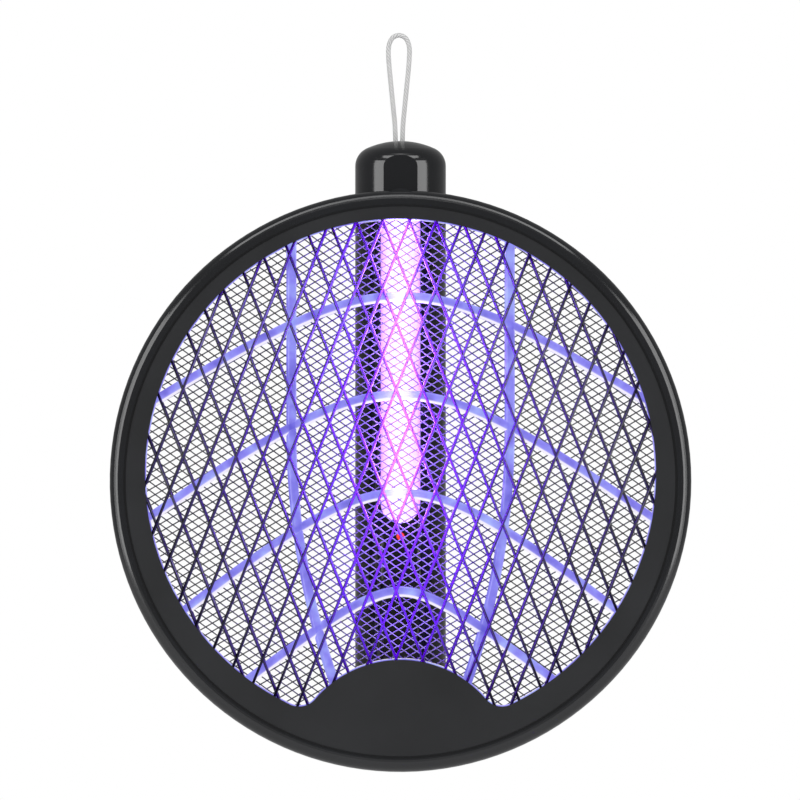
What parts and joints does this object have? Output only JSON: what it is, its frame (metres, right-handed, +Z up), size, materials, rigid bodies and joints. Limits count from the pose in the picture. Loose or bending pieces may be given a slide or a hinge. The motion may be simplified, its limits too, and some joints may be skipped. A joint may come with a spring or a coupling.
{
  "type": "folding electric fly swatter",
  "caption": "Round mesh head on a hinged grip that folds up behind it, with a lamp in the grip shining through the meshes and a cord loop to hang it by.",
  "frame": {"origin": "the point that the hanging loop rests on, at the underside of the top of the cord loop, in the middle plane of the grip", "axes": "+X across to the right as seen from the front, +Z up, -Y out of the front of the mesh head"},
  "size_m": [0.22, 0.0562, 0.2802],
  "materials": {
    "frame_black": "gloss",
    "guard_black": "satin",
    "spacer_clear": "satin",
    "live_metal": "polished",
    "screw_steel": "satin",
    "contact_brass": "satin",
    "grip_black": "gloss",
    "cap_black": "satin",
    "lamp_glow": "satin",
    "reflector_white": "gloss",
    "board_white": "satin",
    "led_lens": "gloss",
    "indicator_red": "gloss",
    "board_green": "satin",
    "ferrite_grey": "satin",
    "capacitor_film": "gloss",
    "chip_black": "satin",
    "cell_sleeve": "gloss",
    "lead_sleeve": "matte",
    "cord_grey": "matte",
    "control_black": "satin",
    "flap_rubber": "matte"
  },
  "bodies": {
    "grip": {"front_shell": "grip_black", "rear_shell": "grip_black", "end_cap": "cap_black", "lamp_lens": "lamp_glow", "lamp_reflector": "reflector_white", "lamp_board": "board_white", "lamp_leds": "led_lens", "indicator_pipe": "indicator_red", "indicator_led": "led_lens", "main_board": "board_green", "transformer": "ferrite_grey", "live_capacitor": "capacitor_film", "control_chips": "chip_black", "battery_cell": "cell_sleeve", "battery_tabs": "screw_steel", "battery_leads": "lead_sleeve", "hinge_leads": "lead_sleeve", "trigger_switch": "chip_black", "slide_switch": "screw_steel", "charge_socket": "screw_steel", "board_screws": "screw_steel", "shell_screws": "screw_steel", "lanyard_anchor": "screw_steel", "lanyard_cord": "cord_grey"},
    "head": {"head_front_frame": "frame_black", "head_rear_frame": "frame_black", "front_guard_mesh": "guard_black", "front_spacer": "spacer_clear", "live_mesh": "live_metal", "rear_spacer": "spacer_clear", "rear_guard_mesh": "guard_black", "frame_screws": "screw_steel", "live_contact": "contact_brass", "guard_contact": "contact_brass", "hinge_pins": "screw_steel", "hinge_washers": "contact_brass"},
    "trigger": {"trigger_button": "control_black"},
    "power_slide": {"slide_knob": "control_black"},
    "flap": {"port_flap": "flap_rubber"}
  },
  "joints": [
    {"name": "head_fold", "type": "hinge", "parent": "grip", "child": "head", "pos_m": [0, -0.0165, -0.2702], "axis": [1, 0, 0], "range_deg": [0, 180]},
    {"name": "trigger_press", "type": "slide", "parent": "grip", "child": "trigger", "axis": [0, -1, 0], "range_m": [0, 0.001], "stiffness_N_per_m": 900, "springref_m": -0.001},
    {"name": "power_switch", "type": "slide", "parent": "grip", "child": "power_slide", "axis": [0, 0, 1], "range_m": [0, 0.006]},
    {"name": "flap_turn", "type": "hinge", "parent": "grip", "child": "flap", "pos_m": [0, 0.0155, -0.16], "axis": [1, 0, 0], "range_deg": [0, 110]}
  ]
}
